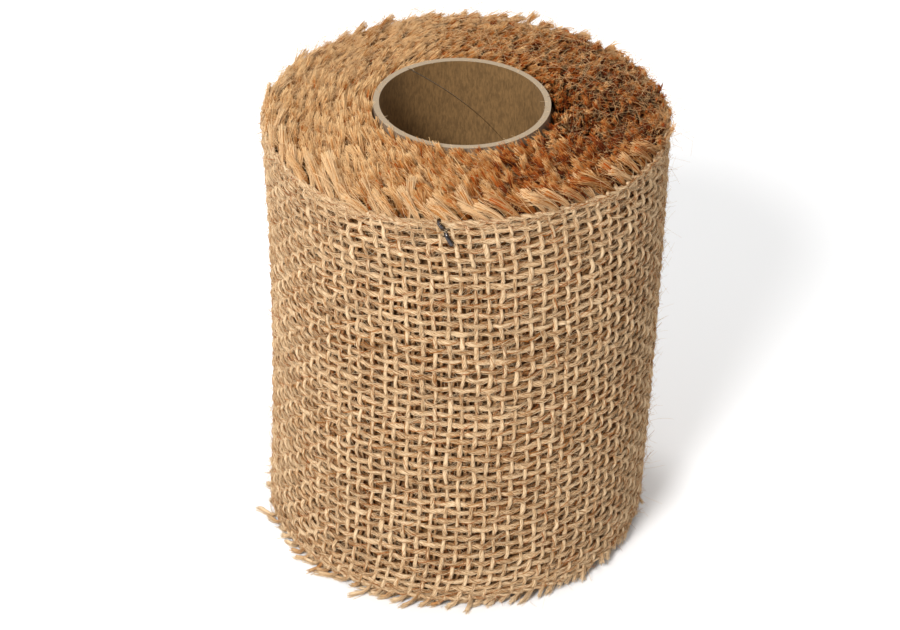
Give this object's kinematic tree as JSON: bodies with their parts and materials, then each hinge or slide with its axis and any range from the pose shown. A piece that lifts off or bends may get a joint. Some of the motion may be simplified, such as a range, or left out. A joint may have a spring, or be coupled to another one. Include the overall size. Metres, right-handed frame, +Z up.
{
  "type": "ribbon spool",
  "caption": "Roll of plain-woven jute gift ribbon with frayed fringes on both edges, wound on a cardboard core, with a loose outer end that lifts.",
  "frame": {"origin": "on the axis of the core's bore, at the height of the surface that the roll stands on", "axes": "+Z up along the core; -Y is the side that carries the closing staple; the ribbon's loose end is on the +Y side"},
  "size_m": [0.0794, 0.0801, 0.0955],
  "materials": {
    "kraft_paperboard": "matte grey-brown kraft paperboard",
    "double_sided_tape": "matte tissue tape",
    "jute_cloth": "loose plain-woven natural jute, seen in the shade between the yarns",
    "jute_edge_yarn": "pale doubled jute yarn",
    "jute_warp_yarn": "dry matte spun jute yarn with loose fibres",
    "jute_weft_yarn": "dry matte spun jute yarn with loose fibres",
    "jute_fringe": "frayed cut jute ends, golden to rust brown",
    "staple_wire": "dull grey drawn wire"
  },
  "bodies": {
    "roll": {"core_inner_ply": "kraft_paperboard", "core_middle_ply": "kraft_paperboard", "core_outer_ply": "kraft_paperboard", "start_tape": "double_sided_tape", "ribbon_inner_turns": "jute_cloth", "ribbon_outer_turn": "jute_cloth", "edge_yarn_top": "jute_edge_yarn", "edge_yarn_bottom": "jute_edge_yarn", "outer_warp_yarns": "jute_warp_yarn", "outer_weft_yarns": "jute_weft_yarn", "fringe_top": "jute_fringe", "fringe_bottom": "jute_fringe", "closing_staple": "staple_wire"},
    "tail": {"tail_cloth": "jute_cloth", "tail_edge_yarn_top": "jute_edge_yarn", "tail_edge_yarn_bottom": "jute_edge_yarn", "tail_warp_yarns": "jute_warp_yarn", "tail_weft_yarns": "jute_weft_yarn", "tail_fringe_top": "jute_fringe", "tail_fringe_bottom": "jute_fringe"}
  },
  "joints": [
    {"name": "tail_lift", "type": "hinge", "parent": "roll", "child": "tail", "pos_m": [0.02007, 0.03477, 0.0465], "axis": [0, 0, -1], "range_deg": [0, 90]}
  ]
}
